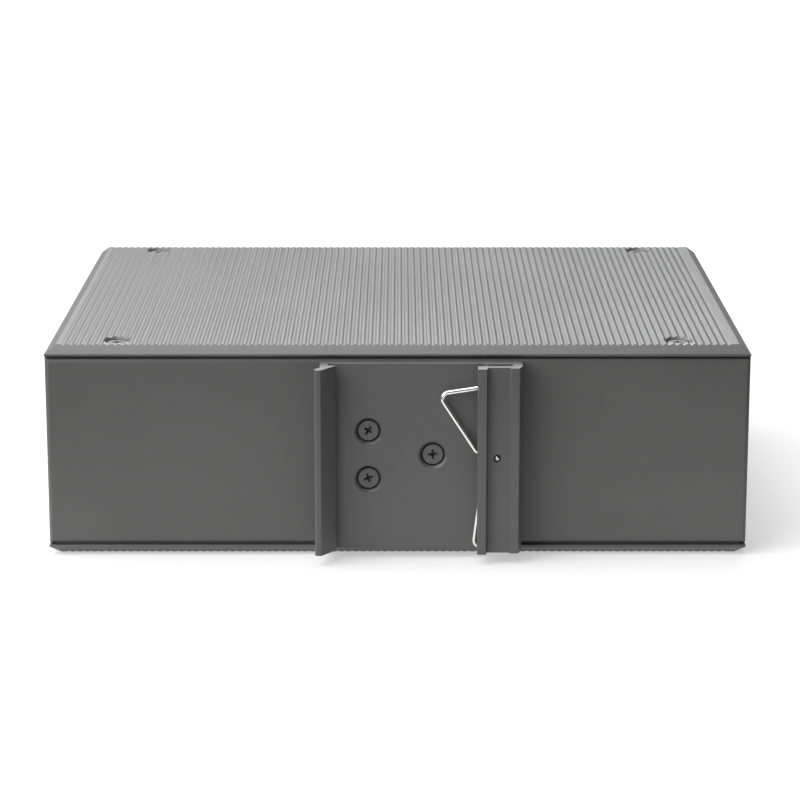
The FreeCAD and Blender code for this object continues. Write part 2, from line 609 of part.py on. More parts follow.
# ---------------------------------------------------------------- two rows of four jacks
rj45_block = new_body("rj45_block")
rj45_contacts = new_body("rj45_contacts")
rj45_shield = new_body("rj45_shield")
rise(rj45_block, "board_top", rectangle("jack_x - jack_half", "jack_x + jack_half", "jack_back", "jack_front"),
     "board_top + jack_high")
for side in ("1", "-1"):
    near_edge, far_edge, latch_edge = (f"jack_middle + {side} * {part}" for part in ("port_near", "port_far", "port_latch"))
    left, right = "port_first - port_wide / 2", "port_first + port_wide / 2"
    form = [(left, near_edge), (right, near_edge), (right, far_edge), ("port_first + latch_wide / 2", far_edge),
            ("port_first + latch_wide / 2", latch_edge), ("port_first - latch_wide / 2", latch_edge),
            ("port_first - latch_wide / 2", far_edge), (left, far_edge)]
    cavity = bore(rj45_block, "jack_front", form, "port_back")
    repeat(rj45_block, [cavity], "X_Axis", "3 * jack_pitch", "4")
    for port in range(4):
        first = f"port_first + {port} * jack_pitch - 3.5 * contact_pitch"
        strip = new_sketch(rj45_contacts, "YZ_Plane", f"{first} - contact_wide / 2")
        outline(strip, [("port_back", f"{near_edge} + {side} * contact_rise"),
                        ("port_back", f"{near_edge} + {side} * (contact_rise - contact_thick)"),
                        ("port_back + contact_run - contact_start / 4", near_edge),
                        ("port_back + contact_run", near_edge)])
        wire_row = feature(rj45_contacts, "Pad", strip, "contact_wide", False)
        repeat(rj45_contacts, [wire_row], "X_Axis", "7 * contact_pitch", "8")
rise(rj45_shield, "board_top", rectangle("jack_x - jack_half - shield", "jack_x + jack_half + shield",
                                         "jack_back - shield", "jack_front"), "board_top + jack_high + shield")
sink(rj45_shield, "board_top", rectangle("jack_x - jack_half", "jack_x + jack_half", "jack_back", "jack_front"),
     "board_top + jack_high")

# ---------------------------------------------------------------- fibre cages with their edge connectors
sfp_cages = new_body("sfp_cages")
sfp_connectors = new_body("sfp_connectors")
half = "cage_wide / 2"
tube = rise(sfp_cages, "board_top", rectangle(f"cage_x - {half}", f"cage_x + {half}", "cage_back", "cage_front"),
            "board_top + cage_high")
hollow = bore(sfp_cages, "cage_front", rectangle(f"cage_x - {half} + cage_wall", f"cage_x + {half} - cage_wall",
                                                 "board_top + cage_wall", "board_top + cage_high - cage_wall"),
              "cage_back + cage_wall")
floor = sink(sfp_cages, "board_top", rectangle(f"cage_x - {half} + cage_wall", f"cage_x + {half} - cage_wall",
                                               "cage_back + cage_wall", "edge_front + cage_wall"),
             "board_top + cage_wall")
repeat(sfp_cages, [tube, hollow, floor], "X_Axis", "cage_pitch", "2")
socket = rise(sfp_connectors, "board_top", rectangle("cage_x - edge_wide / 2", "cage_x + edge_wide / 2",
                                                     "edge_front - edge_deep", "edge_front"), "board_top + edge_high")
slot = bore(sfp_connectors, "edge_front", rectangle(
    "cage_x - edge_slot_wide / 2", "cage_x + edge_slot_wide / 2", "board_top + (edge_high - edge_slot_high) / 2",
    "board_top + (edge_high + edge_slot_high) / 2"), "edge_front - edge_slot_deep")
repeat(sfp_connectors, [socket, slot], "X_Axis", "cage_pitch", "2")

# ---------------------------------------------------------------- power header
power_header = block("power_header", "board_top", rectangle(
    "header_x - header_wide / 2", "header_x + header_wide / 2", "header_front - header_deep", "header_front"),
    "board_top + header_high")
bore(power_header, "header_front", rectangle(
    "header_x - header_wide / 2 + header_wall", "header_x + header_wide / 2 - header_wall",
    "board_top + header_wall", "board_top + header_high - header_wall"), "trough_back")
power_pins = new_body("power_pins")
pin_left = "header_x - 1.5 * pin_pitch"
pin_z = "board_top + header_high / 2"
pin = extend(power_pins, "trough_back + pin_long", rectangle(
    f"{pin_left} - pin_size / 2", f"{pin_left} + pin_size / 2", f"{pin_z} - pin_size / 2", f"{pin_z} + pin_size / 2"),
    "trough_back")
repeat(power_pins, [pin], "X_Axis", "3 * pin_pitch", "4")

# ---------------------------------------------------------------- DIP switch, reset switch, light guides
dip_switch = block("dip_switch", "board_top", rectangle(
    "dip_x - dip_wide / 2", "dip_x + dip_wide / 2", "dip_front - dip_deep", "dip_front"), "board_top + dip_high")
track = bore(dip_switch, "dip_front", rectangle(
    "dip_x - dip_pitch / 2 - lever_wide / 2 - lever_play", "dip_x - dip_pitch / 2 + lever_wide / 2 + lever_play",
    "control_z - lever_slot / 2", "control_z + lever_slot / 2"), "lever_back - lever_play")
repeat(dip_switch, [track], "X_Axis", "dip_pitch", "2")
for label, side in (("dip_lever_one", "-1"), ("dip_lever_two", "1")):
    centre = f"dip_x + ({side}) * dip_pitch / 2"
    lever = new_body(label)
    extend(lever, "dip_front + lever_proud", rectangle(
        f"{centre} - lever_wide / 2", f"{centre} + lever_wide / 2", "control_z - lever_slot / 2 + lever_play",
        "control_z - lever_slot / 2 + lever_play + lever_high"), "lever_back")

reset_switch = block("reset_switch", "board_top", rectangle(
    "reset_x - reset_block / 2", "reset_x + reset_block / 2", "reset_front - reset_deep", "reset_front"),
    "board_top + reset_high")
bore(reset_switch, "reset_front", ("reset_x", "control_z", "reset_width + 2 * reset_play"),
     "reset_root - reset_travel - reset_play")
reset_button = new_body("reset_button")
extend(reset_button, "reset_tip", ("reset_x", "control_z", "reset_width"), "reset_root")

status_leds = new_body("status_leds")
led = rise(status_leds, "board_top", rectangle(
    "guide_x - guide_pitch - led_wide / 2", "guide_x - guide_pitch + led_wide / 2",
    "guide_drop - led_wide / 2", "guide_drop + led_wide / 2"), "led_top")
repeat(status_leds, [led], "X_Axis", "2 * guide_pitch", "3")
light_guides = new_body("light_guides")
guide_side = new_sketch(light_guides, "YZ_Plane", "guide_x - guide_pitch - guide_width / 2")
outline(guide_side, [
    ("front_face + guide_proud", "guide_z - guide_width / 2"), ("front_face + guide_proud", "guide_z + guide_width / 2"),
    ("guide_drop", "guide_z + guide_width / 2"), ("guide_drop - guide_width / 2", "guide_z"),
    ("guide_drop - guide_width / 2", "led_top"), ("guide_drop + guide_width / 2", "led_top"),
    ("guide_drop + guide_width / 2", "guide_z - guide_width / 2")])
guide = feature(light_guides, "Pad", guide_side, "guide_width", False)
repeat(light_guides, [guide], "X_Axis", "2 * guide_pitch", "3")

# ---------------------------------------------------------------- heat path, magnetics and power stage
def square(x, y, wide):
    return rectangle(f"{x} - {wide} / 2", f"{x} + {wide} / 2", f"{y} - {wide} / 2", f"{y} + {wide} / 2")


switch_chip = block("switch_chip", "board_low - chip_thick", square("chip_x", "chip_y", "chip_wide"), "board_low")
thermal_pad = block("thermal_pad", "heat_top", square("chip_x", "chip_y", "pad_wide"), "board_low - chip_thick")
heat_block = block("heat_block", "shell_low", square("chip_x", "chip_y", "block_wide"), "heat_top")
magnetics = new_body("magnetics")
magnet = rise(magnetics, "board_top", rectangle(
    "jack_x - 1.5 * magnet_pitch - magnet_wide / 2", "jack_x - 1.5 * magnet_pitch + magnet_wide / 2",
    "magnet_front - magnet_deep", "magnet_front"), "board_top + magnet_high")
repeat(magnetics, [magnet], "X_Axis", "3 * magnet_pitch", "4")
capacitors = new_body("capacitors")
can = rise(capacitors, "board_top", square("cap_x", "(cap_y - cap_pitch)", "cap_wide"), "board_top + cap_high")
repeat(capacitors, [can], "Y_Axis", "cap_pitch", "2")
inductor = block("inductor", "board_top", square("coil_x", "coil_y", "coil_wide"), "board_top + coil_high")

# ---------------------------------------------------------------- ground screw on the front panel
ground_screw = new_body("ground_screw")
extend(ground_screw, "front_face", ring("ground_x", "ground_z", "ground_shank"), "shell_front - ground_tail")
extend(ground_screw, "front_face + ground_head_high", ring("ground_x", "ground_z", "ground_head"), "front_face")

# ---------------------------------------------------------------- build, check and write every piece
doc.recompute()
for item in doc.Objects:
    if "Invalid" in item.State or "Error" in item.State:
        raise RuntimeError(f"{item.Label} did not build")
for item in doc.Objects:
    if item.TypeId != "PartDesign::Body":
        continue
    if item.Shape.isNull() or not item.Shape.isValid() or not item.Shape.Solids:
        raise RuntimeError(f"{item.Label} has no valid solid")
    Part.export([item], f"parts/{item.Label}.step")
print(len([item for item in doc.Objects if item.TypeId == "PartDesign::Body"]), "pieces written")
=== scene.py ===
"""Dresses the packed model of a DIN rail ethernet switch: sheet, covers, screws, wire spring and studio."""
import json
import math

import bmesh
import bpy
from bpy.props import FloatProperty, FloatVectorProperty, PointerProperty
from mathutils import Matrix, Vector


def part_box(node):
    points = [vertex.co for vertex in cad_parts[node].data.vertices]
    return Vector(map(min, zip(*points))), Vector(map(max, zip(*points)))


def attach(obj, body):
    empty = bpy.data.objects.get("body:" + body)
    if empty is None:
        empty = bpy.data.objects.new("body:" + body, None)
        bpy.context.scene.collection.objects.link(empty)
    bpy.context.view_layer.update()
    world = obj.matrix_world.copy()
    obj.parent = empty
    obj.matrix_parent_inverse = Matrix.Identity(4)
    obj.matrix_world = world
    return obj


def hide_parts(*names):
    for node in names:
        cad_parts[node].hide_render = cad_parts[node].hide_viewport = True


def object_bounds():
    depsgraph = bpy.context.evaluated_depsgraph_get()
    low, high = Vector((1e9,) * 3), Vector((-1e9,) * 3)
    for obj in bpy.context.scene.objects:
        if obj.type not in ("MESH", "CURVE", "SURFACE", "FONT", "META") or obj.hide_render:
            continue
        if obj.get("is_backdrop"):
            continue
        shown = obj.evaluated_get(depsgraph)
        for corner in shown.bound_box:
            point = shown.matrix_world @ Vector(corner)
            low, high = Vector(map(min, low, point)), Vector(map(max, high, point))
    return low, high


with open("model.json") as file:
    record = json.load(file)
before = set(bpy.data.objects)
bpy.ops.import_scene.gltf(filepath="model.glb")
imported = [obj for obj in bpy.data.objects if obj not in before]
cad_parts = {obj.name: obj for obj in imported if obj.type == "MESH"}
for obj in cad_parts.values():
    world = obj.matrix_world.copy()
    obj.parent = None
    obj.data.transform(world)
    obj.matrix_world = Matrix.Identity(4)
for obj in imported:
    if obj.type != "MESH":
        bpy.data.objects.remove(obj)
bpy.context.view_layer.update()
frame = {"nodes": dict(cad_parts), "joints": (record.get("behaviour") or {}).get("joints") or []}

bl_info = {
    "name": "DIN rail network switch",
    "version": (1, 0, 0),
    "blender": (4, 5, 0),
    "location": "View3D > Sidebar > Switch",
    "description": "Finishes, covers, screws, wire spring and studio for a switch that clips on a DIN rail",
    "category": "Object",
}

MM = 0.001
UP, DOWN, REAR, FRONT = Vector((0, 0, 1)), Vector((0, 0, -1)), Vector((0, -1, 0)), Vector((0, 1, 0))
WELD = 2e-6                 # points of a packed solid that lie this close are one point
TOUCH = 1e-7                # the same for pieces made here
FLAT = math.radians(0.6)    # faces of a packed solid that meet at less than this are one flat
NEARLY_LEVEL = 0.9          # a face whose normal rises or falls more than this looks up or down
ABOVE = 0.5 * MM            # how far a cutting tool stands out of the face it cuts
THROUGH = 8 * MM            # deeper than any sheet, plate or cover


def length(name, description, default):
    return FloatProperty(name=name, description=description, default=default * MM, unit="LENGTH", precision=5)


def share(name, description, default, high=1.0):
    return FloatProperty(name=name, description=description, default=default, min=0.0, max=high)


def colour(name, description, default):
    return FloatVectorProperty(name=name, description=description, default=default, subtype="COLOR", min=0.0,
                               max=1.0)


def power(name, description, default):
    return FloatProperty(name=name, description=description, default=default, unit="POWER", min=0.0)


def slant(name, description, degrees):
    return FloatProperty(name=name, description=description, default=math.radians(degrees), subtype="ANGLE")


class CoverSizes(bpy.types.PropertyGroup):
    """Sizes of the two ribbed side covers."""

    bevel_inset: length("Bevel inset", "How far the ribbed face stands in from the cover's outline", 2.25)
    edge_height: length("Edge height", "Height of the upright edge under the bevel", 0.45)
    step_inset: length("Step inset", "How far the foot of the cover stands in from its outline", 1.1)
    step_height: length("Step height", "Height of that foot, which leaves the shadow gap", 0.3)
    rib_pitch: length("Rib pitch", "Distance from one groove to the next", 1.57)
    rib_margin: length("Rib margin", "Plain strip between the first groove and the bevel", 1.2)
    groove_width: length("Groove width", "Width of a groove at the face", 1.05)
    groove_floor: length("Groove floor", "Width of a groove at its floor", 0.4)
    groove_depth: length("Groove depth", "Depth of a groove", 0.2)
    rounding: length("Rounding", "Radius on the ribs and outer edges", 0.12)


class SheetSizes(bpy.types.PropertyGroup):
    """Edge finish of the folded housing, the front panel and the rail plate."""

    housing_round: length("Housing edge", "Radius on the cut edges of the sheet", 0.15)
    plate_round: length("Plate edge", "Radius on the edges of the extruded rail plate", 0.1)
    plate_base: length("Plate base", "Thickness of the rail plate between its hook and its clip", 2.0)
    clip_front: length("Clip front", "Height of the clip's middle above the rear face", 5.6)
    stake_well: length("Stake well", "Width of the well round the end of the stake", 1.6)
    well_depth: length("Well depth", "Depth of that well", 0.75)
    stake_end: length("Stake end", "Radius of the bright end of the stake", 0.5)
    part_round: length("Small part edge", "Radius on the edges of the moulded pieces", 0.12)
    cage_round: length("Cage edge", "Radius on the edges of the fibre cages", 0.1)
    pin_round: length("Pin edge", "Radius on the edges of the power pins", 0.15)


class ScrewSizes(bpy.types.PropertyGroup):
    """Sizes of the countersunk and pan head screws."""

    shank: length("Shank", "Width of the shank of a countersunk screw", 3.0)
    ground_shank: length("Ground shank", "Width of the shank of the ground screw", 4.0)
    hole_play: length("Hole clearance", "Room between a shank and its hole", 0.08)
    rim: length("Rim", "Height of the rounded rim of the head", 0.12)
    recess_span: length("Recess span", "Tip to tip width of the cross recess", 2.7)
    recess_arm: length("Recess arm", "Width of one arm of the cross recess", 0.6)
    head_gap: length("Head gap", "Dark gap between the head's rim and its countersink", 0.22)
    gap_depth: length("Gap depth", "How far that gap goes down beside the head", 1.1)
    recess_depth: length("Recess depth", "Depth of the cross recess", 1.2)
    sink_play: length("Sink clearance", "Room between the head and its countersink", 0.15)


class SpringSizes(bpy.types.PropertyGroup):
    """Shape of the bent wire spring in its own frame, before it is turned on its stake."""

    wire: length("Wire", "Width of the wire", 1.0)
    loop: length("Loop", "From the stake to the middle of the wire round it", 1.7)
    upper: length("Upper half", "From the stake to the outer bend above it", 16.0)
    upper_meet: length("Upper meeting point", "Where the upper leg would meet the axis", 3.37)
    upper_tail: length("Upper tail", "Where the upper end stops short of the stake, along the plate", 0.75)
    lower: length("Lower half", "From the stake to the outer bend below it", 18.95)
    lower_meet: length("Lower meeting point", "Where the lower leg would meet the axis", 2.6)
    lower_tail: length("Lower tail", "Where the lower end stops short of the stake, along the plate", 1.5)
    apex_bend: length("Outer bend", "Radius of the two outer bends", 1.4)
    neck_bend: length("Inner bend", "Radius of the bends beside the loop", 1.1)
    slope: slant("Slope", "Slope of the slanted legs", 70.1)
    toe: slant("Toe", "How far the outer legs lean towards the axis", 4.4)


class Finishes(bpy.types.PropertyGroup):
    """Colours and textures of the surfaces."""

    case_paint: colour("Case paint", "Powder coat on the housing and the front panel", (0.080, 0.080, 0.079))
    cover_paint: colour("Cover paint", "Coat on the ribbed covers", (0.080, 0.080, 0.080))
    plate_paint: colour("Plate paint", "Coat on the extruded rail plate", (0.084, 0.084, 0.084))
    screw_coat: colour("Screw coat", "Dark plating on the screws", (0.11, 0.11, 0.11))
    wire_steel: colour("Wire steel", "Bright drawn steel of the spring", (0.86, 0.85, 0.82))
    paint_roughness: share("Paint roughness", "Roughness of the painted sheet", 0.45)
    cover_roughness: share("Cover roughness", "Roughness of the ribbed covers", 0.3)
    grain_size: length("Paint grain", "Size of the powder coat's grain", 0.35)


class StageSizes(bpy.types.PropertyGroup):
    """Camera, floor and lights."""

    lens: FloatProperty(name="Lens", description="Focal length of the camera in millimetres", default=116.2)
    camera_x: length("Camera X", "Camera position across the switch", 0.51)
    camera_y: length("Camera Y", "Camera position behind the rail side", -583.7)
    camera_z: length("Camera Z", "Camera height above the floor", 173.6)
    camera_dip: slant("Camera dip", "How far the camera looks down", 12.54)
    shift_y: FloatProperty(name="Vertical shift", description="Upright shift of the lens", default=-0.12)
    floor_width: length("Floor width", "Width of the pale floor", 8000.0)
    floor_shade: colour("Floor shade", "Colour of the pale floor", (0.46, 0.46, 0.46))
    floor_glow: share("Floor glow", "Light that comes through the pale floor", 0.44, 4.0)
    pool_width: length("Pool width", "Width of the part of the floor that lights the switch", 240.0)
    floor_behind: share("Floor behind", "How bright the floor behind the switch is beside that part", 0.6)
    overhead_power: power("Overhead light", "Power of the light above", 9.5)
    key_power: power("Key light", "Power of the light in front", 23.0)
    back_power: power("Back light", "Power of the light behind the switch", 12.0)
    room_shade: share("Room shade", "Brightness of the room behind the camera", 0.3, 4.0)
    backdrop_shade: share("Backdrop shade", "Brightness of the room behind the switch", 1.0, 4.0)
    horizon_shade: share("Horizon shade", "How bright the room is low down, beside its upper part", 0.35, 4.0)
    left_shade: share("Left shade", "How bright the left side of the room is beside its middle", 1.2, 4.0)
    right_shade: share("Right shade", "How bright the right side of the room is beside its middle", 0.2, 4.0)


# ---------------------------------------------------------------- picking up and placing pieces
def settings(group):
    return getattr(bpy.context.scene, group)


def let_go():
    if bpy.context.object and bpy.context.object.mode != "OBJECT":
        bpy.ops.object.mode_set(mode="OBJECT")
    bpy.ops.object.select_all(action="DESELECT")


def take_up(piece):
    let_go()
    piece.select_set(True)
    bpy.context.view_layer.objects.active = piece


def edit(piece):
    take_up(piece)
    bpy.ops.object.mode_set(mode="EDIT")
    bpy.ops.mesh.select_mode(type="FACE")


def pick_facing(piece, way):
    """Select the faces that look up (1) or down (-1); the piece is in edit mode."""
    bpy.ops.mesh.select_all(action="DESELECT")
    mesh = bmesh.from_edit_mesh(piece.data)
    for face in mesh.faces:
        if way * face.normal.z > NEARLY_LEVEL:
            face.select_set(True)
    mesh.select_flush_mode()
    bmesh.update_edit_mesh(piece.data)


def done(name):
    """Leave edit mode, settle the new piece at the origin and name it."""
    piece = bpy.context.object
    if piece.mode != "OBJECT":
        bpy.ops.object.mode_set(mode="OBJECT")
    take_up(piece)
    bpy.ops.object.transform_apply(location=True, rotation=True, scale=True)
    piece.name = piece.data.name = name
    return piece


def apply(piece, modifier):
    take_up(piece)
    bpy.ops.object.modifier_apply(modifier=modifier.name)


def cut_away(piece, cutter):
    modifier = piece.modifiers.new("Cut", "BOOLEAN")
    modifier.operation = "DIFFERENCE"
    modifier.solver = "EXACT"
    modifier.object = cutter
    apply(piece, modifier)
    bpy.data.objects.remove(cutter)


def round_edges(piece, radius, angle=35):
    modifier = piece.modifiers.new("Rounded", "BEVEL")
    modifier.width = radius
    modifier.segments = 2
    modifier.limit_method = "ANGLE"
    modifier.angle_limit = math.radians(angle)
    modifier.use_clamp_overlap = False
    apply(piece, modifier)


def smooth(piece, angle=30):
    take_up(piece)
    bpy.ops.object.shade_smooth_by_angle(angle=math.radians(angle))
    weighted = piece.modifiers.new("Weighted", "WEIGHTED_NORMAL")
    weighted.keep_sharp = True
    apply(piece, weighted)


def clean(piece):
    """Weld the piece and turn its faces outwards."""
    edit(piece)
    bpy.ops.mesh.select_all(action="SELECT")
    bpy.ops.mesh.remove_doubles(threshold=TOUCH)
    bpy.ops.mesh.normals_make_consistent(inside=False)
    bpy.ops.object.mode_set(mode="OBJECT")


def copy_of(node, name):
    """A welded copy of a packed solid with its flats joined."""
    piece = bpy.data.objects.new(name, frame["nodes"][node].data.copy())
    piece.data.name = name
    bpy.context.scene.collection.objects.link(piece)
    edit(piece)
    bpy.ops.mesh.customdata_custom_splitnormals_clear()
    bpy.ops.mesh.select_all(action="SELECT")
    bpy.ops.mesh.remove_doubles(threshold=WELD)
    bpy.ops.mesh.dissolve_limited(angle_limit=FLAT)
    bpy.ops.object.mode_set(mode="OBJECT")
    return piece


def placed(master, name, spot, facing, turn=0.0):
    """A copy of a piece made upright at the origin, set at a spot with its head facing a way."""
    piece = bpy.data.objects.new(name, master.data.copy())
    piece.data.name = name
    bpy.context.scene.collection.objects.link(piece)
    aim = UP.rotation_difference(facing).to_matrix().to_4x4()
    piece.data.transform(Matrix.Translation(spot) @ aim @ Matrix.Rotation(turn, 4, "Z"))
    return piece


def joined(pieces, name):
    let_go()
    for piece in pieces:
        piece.select_set(True)
    bpy.context.view_layer.objects.active = pieces[0]
    bpy.ops.object.join()
    return done(name)


def wear(piece, material, slot, body, *nodes):
    """Give the piece its finish and its place in the frame."""
    piece.data.materials.clear()
    piece.data.materials.append(material)
    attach(piece, body)
    if nodes:
        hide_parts(*nodes)


def repaint(node, material):
    """A packed solid keeps its shape and takes a finish."""
    packed = frame["nodes"][node]
    packed.data.materials.clear()
    packed.data.materials.append(material)


def islands(node):
    """The lowest and highest corner of each separate solid in a packed node."""
    mesh = bmesh.new()
    mesh.from_mesh(frame["nodes"][node].data)
    bmesh.ops.remove_doubles(mesh, verts=mesh.verts, dist=WELD)
    seen, boxes = set(), []
    for start in mesh.verts:
        if start in seen:
            continue
        seen.add(start)
        group, front = [start], [start]
        while front:
            for edge in front.pop().link_edges:
                for corner in edge.verts:
                    if corner not in seen:
                        seen.add(corner)
                        group.append(corner)
                        front.append(corner)
        spots = [corner.co for corner in group]
        boxes.append((Vector([min(spot[i] for spot in spots) for i in range(3)]),
                      Vector([max(spot[i] for spot in spots) for i in range(3)])))
    mesh.free()
    return sorted(boxes, key=lambda box: tuple(round(value, 5) for value in box[0]))


def turned(name, rings, sides=64):
    """A turned piece along Z: a disc drawn up through rings of (radius, height)."""
    let_go()
    radius, height = rings[0]
    bpy.ops.mesh.primitive_circle_add(vertices=sides, radius=radius, fill_type="NGON",
                                      location=(0, 0, height))
    bpy.ops.object.mode_set(mode="EDIT")
    bpy.ops.mesh.select_mode(type="FACE")
    bpy.ops.mesh.select_all(action="SELECT")
    for next_radius, next_height in rings[1:]:
        bpy.ops.mesh.extrude_region_move(TRANSFORM_OT_translate={"value": (0, 0, next_height - height)})
        ratio = next_radius / radius
        bpy.ops.transform.resize(value=(ratio, ratio, 1), center_override=(0, 0, next_height))
        radius, height = next_radius, next_height
    piece = done(name)
    clean(piece)
    return piece


def countersink(piece, node, facing, face):
    """Cut a round countersink in the piece round every screw of a node; face is the height of its mouth."""
    screw = settings("switch_screws")
    along = "z" if facing in (UP, DOWN) else "y"
    hole = screw.shank / 2 + screw.hole_play
    for low, high in islands(node):
        spot = (low + high) / 2
        top = high if facing in (UP, FRONT) else low
        sunk = abs(getattr(top, along) - face)
        head = (high.x - low.x) / 2 + screw.sink_play
        floor = -sunk - screw.gap_depth
        sink = turned("sink", [(hole, -THROUGH), (hole, floor - 0.05 * MM), (head, floor), (head, -sunk),
                               (head + sunk, 0), (head + sunk, ABOVE)], sides=72)
        setattr(spot, along, face)
        tool = placed(sink, "sink_tool", spot, facing)
        bpy.data.objects.remove(sink)
        cut_away(piece, tool)


def slab(name, low, high):
    """A block between two corners, still to be shaped."""
    let_go()
    low, high = Vector(low), Vector(high)
    bpy.ops.mesh.primitive_cube_add(size=1, location=(low + high) / 2)
    bpy.context.object.scale = high - low
    return done(name)


# ---------------------------------------------------------------- finishes
class Tree:
    """Adds nodes to a node tree and joins them."""

    STEP = 180      # from one node to the next in the editor

    def __init__(self, tree):
        self.tree = tree
        self.column = 0

    def add(self, kind, **values):
        node = self.tree.nodes.new(kind)
        self.column += self.STEP
        node.location = (self.column, 0)
        for name, value in values.items():
            setattr(node, name, value)
        return node

    def join(self, start, end):
        self.tree.links.new(start, end)


def shader_group(name, inputs):
    """An empty group with an input socket for each (name, kind, default)."""
    group = bpy.data.node_groups.new(name, "ShaderNodeTree")
    for label, kind, default in inputs:
        socket = group.interface.new_socket(name=label, in_out="INPUT", socket_type=kind)
        socket.default_value = default
    tree = Tree(group)
    return group, tree, tree.add("NodeGroupInput")


def outputs(group, tree, sources):
    """Output sockets for the group: floats unless the source is a colour."""
    for label, source in sources.items():
        kind = "NodeSocketColor" if source.type == "RGBA" else "NodeSocketFloat"
        group.interface.new_socket(name=label, in_out="OUTPUT", socket_type=kind)
    end = tree.add("NodeGroupOutput")
    for label, source in sources.items():
        tree.join(source, end.inputs[label])


def maths(tree, operation, *values):
    """A Math node on sockets and plain numbers."""
    node = tree.add("ShaderNodeMath", operation=operation)
    for socket, value in zip(node.inputs, values):
        if isinstance(value, bpy.types.NodeSocket):
            tree.join(value, socket)
        else:
            socket.default_value = value
    return node.outputs[0]


def ramp(tree, source, low, high, start=0.0, end=1.0):
    """A smooth change from start to end while the source goes from low to high."""
    remap = tree.add("ShaderNodeMapRange", interpolation_type="SMOOTHSTEP")
    for label, value in (("From Min", low), ("From Max", high), ("To Min", start), ("To Max", end)):
        remap.inputs[label].default_value = value
    tree.join(source, remap.inputs["Value"])
    return remap.outputs["Result"]


def scaled_noise(tree, size, stretch=None, detail=3.0, roughness=0.55):
    """Noise on Object coordinates whose grains are of that size in metres."""
    where = tree.add("ShaderNodeTexCoord").outputs["Object"]
    if stretch is not None:
        multiply = tree.add("ShaderNodeVectorMath", operation="MULTIPLY")
        tree.join(where, multiply.inputs[0])
        tree.join(stretch, multiply.inputs[1])
        where = multiply.outputs[0]
    noise = tree.add("ShaderNodeTexNoise")
    noise.inputs["Detail"].default_value = detail
    noise.inputs["Roughness"].default_value = roughness
    tree.join(where, noise.inputs["Vector"])
    tree.join(maths(tree, "DIVIDE", 1.0, size), noise.inputs["Scale"])
    return noise.outputs["Fac"]


def blend_values(tree, low, high, part):
    mix = tree.add("ShaderNodeMix", data_type="FLOAT")
    mix.inputs["Factor"].default_value = part
    tree.join(low, mix.inputs["A"])
    tree.join(high, mix.inputs["B"])
    return mix.outputs["Result"]


def powder_grain():
    """Fine orange-peel grain of a powder coat, with slow patches where it was handled."""
    if "Powder grain" in bpy.data.node_groups:
        return bpy.data.node_groups["Powder grain"]
    group, tree, start = shader_group("Powder grain", [("Grain", "NodeSocketFloat", 0.00035),
                                                       ("Patch", "NodeSocketFloat", 0.03)])
    grain = scaled_noise(tree, start.outputs["Grain"], detail=2.0)
    patch = scaled_noise(tree, start.outputs["Patch"], detail=4.0, roughness=0.6)
    height = ramp(tree, grain, 0.3, 0.7)
    shade = blend_values(tree, height, ramp(tree, patch, 0.35, 0.65), 0.55)
    outputs(group, tree, {"Height": height, "Shade": shade, "Patches": patch})
    return group


def drawn_lines():
    """Fine parallel lines left by drawing, rolling or brushing."""
    if "Drawn lines" in bpy.data.node_groups:
        return bpy.data.node_groups["Drawn lines"]
    group, tree, start = shader_group("Drawn lines", [("Grain", "NodeSocketFloat", 0.0002),
                                                      ("Patch", "NodeSocketFloat", 0.01),
                                                      ("Stretch", "NodeSocketVector", (1.0, 1.0, 0.05))])
    lines = scaled_noise(tree, start.outputs["Grain"], start.outputs["Stretch"])
    patch = scaled_noise(tree, start.outputs["Patch"])
    height = ramp(tree, lines, 0.3, 0.7)
    shade = blend_values(tree, height, ramp(tree, patch, 0.35, 0.65), 0.35)
    outputs(group, tree, {"Height": height, "Shade": shade, "Patches": patch})
    return group


def finish(name, base, roughness, metallic=0.0, group=None, spread=0.06, rough_spread=0.05, bump=0.15,
           depth=0.00004, **inputs):
    """A surface whose colour, roughness and height follow one of the groups."""
    if name in bpy.data.materials:
        return bpy.data.materials[name]
    material = bpy.data.materials.new(name)
    material.use_nodes = True
    tree = Tree(material.node_tree)
    shader = material.node_tree.nodes["Principled BSDF"]
    effect = tree.add("ShaderNodeGroup")
    effect.node_tree = group or powder_grain()
    for label, value in inputs.items():
        if label in effect.inputs:
            effect.inputs[label].default_value = value
    tone = tree.add("ShaderNodeMix", data_type="RGBA")
    tone.inputs["A"].default_value = tuple(channel * (1 - spread) for channel in base) + (1.0,)
    tone.inputs["B"].default_value = tuple(min(1.0, channel * (1 + spread)) for channel in base) + (1.0,)
    tree.join(effect.outputs["Shade"], tone.inputs["Factor"])
    tree.join(tone.outputs["Result"], shader.inputs["Base Color"])
    rough = tree.add("ShaderNodeMapRange")
    rough.inputs["To Min"].default_value = max(0.02, roughness - rough_spread)
    rough.inputs["To Max"].default_value = min(1.0, roughness + rough_spread)
    tree.join(effect.outputs["Patches"], rough.inputs["Value"])
    tree.join(rough.outputs["Result"], shader.inputs["Roughness"])
    relief = tree.add("ShaderNodeBump")
    relief.inputs["Strength"].default_value = bump
    relief.inputs["Distance"].default_value = depth
    tree.join(effect.outputs["Height"], relief.inputs["Height"])
    tree.join(relief.outputs["Normal"], shader.inputs["Normal"])
    shader.inputs["Metallic"].default_value = metallic
    return material


def paint(name, base, roughness):
    """Powder coat."""
    look = settings("switch_finishes")
    return finish(name, base, roughness, spread=0.05, bump=0.35, depth=0.00003, Grain=look.grain_size,
                  Patch=0.03)


def dark_plating():
    """Dull dark plating of the screws, which mirrors little of the room."""
    plating = finish("Dark plating", settings("switch_finishes").screw_coat, 0.5, metallic=0.1, spread=0.12,
                     bump=0.2, Grain=0.0003, Patch=0.002)
    plating.node_tree.nodes["Principled BSDF"].inputs["Specular IOR Level"].default_value = 0.15
    return plating


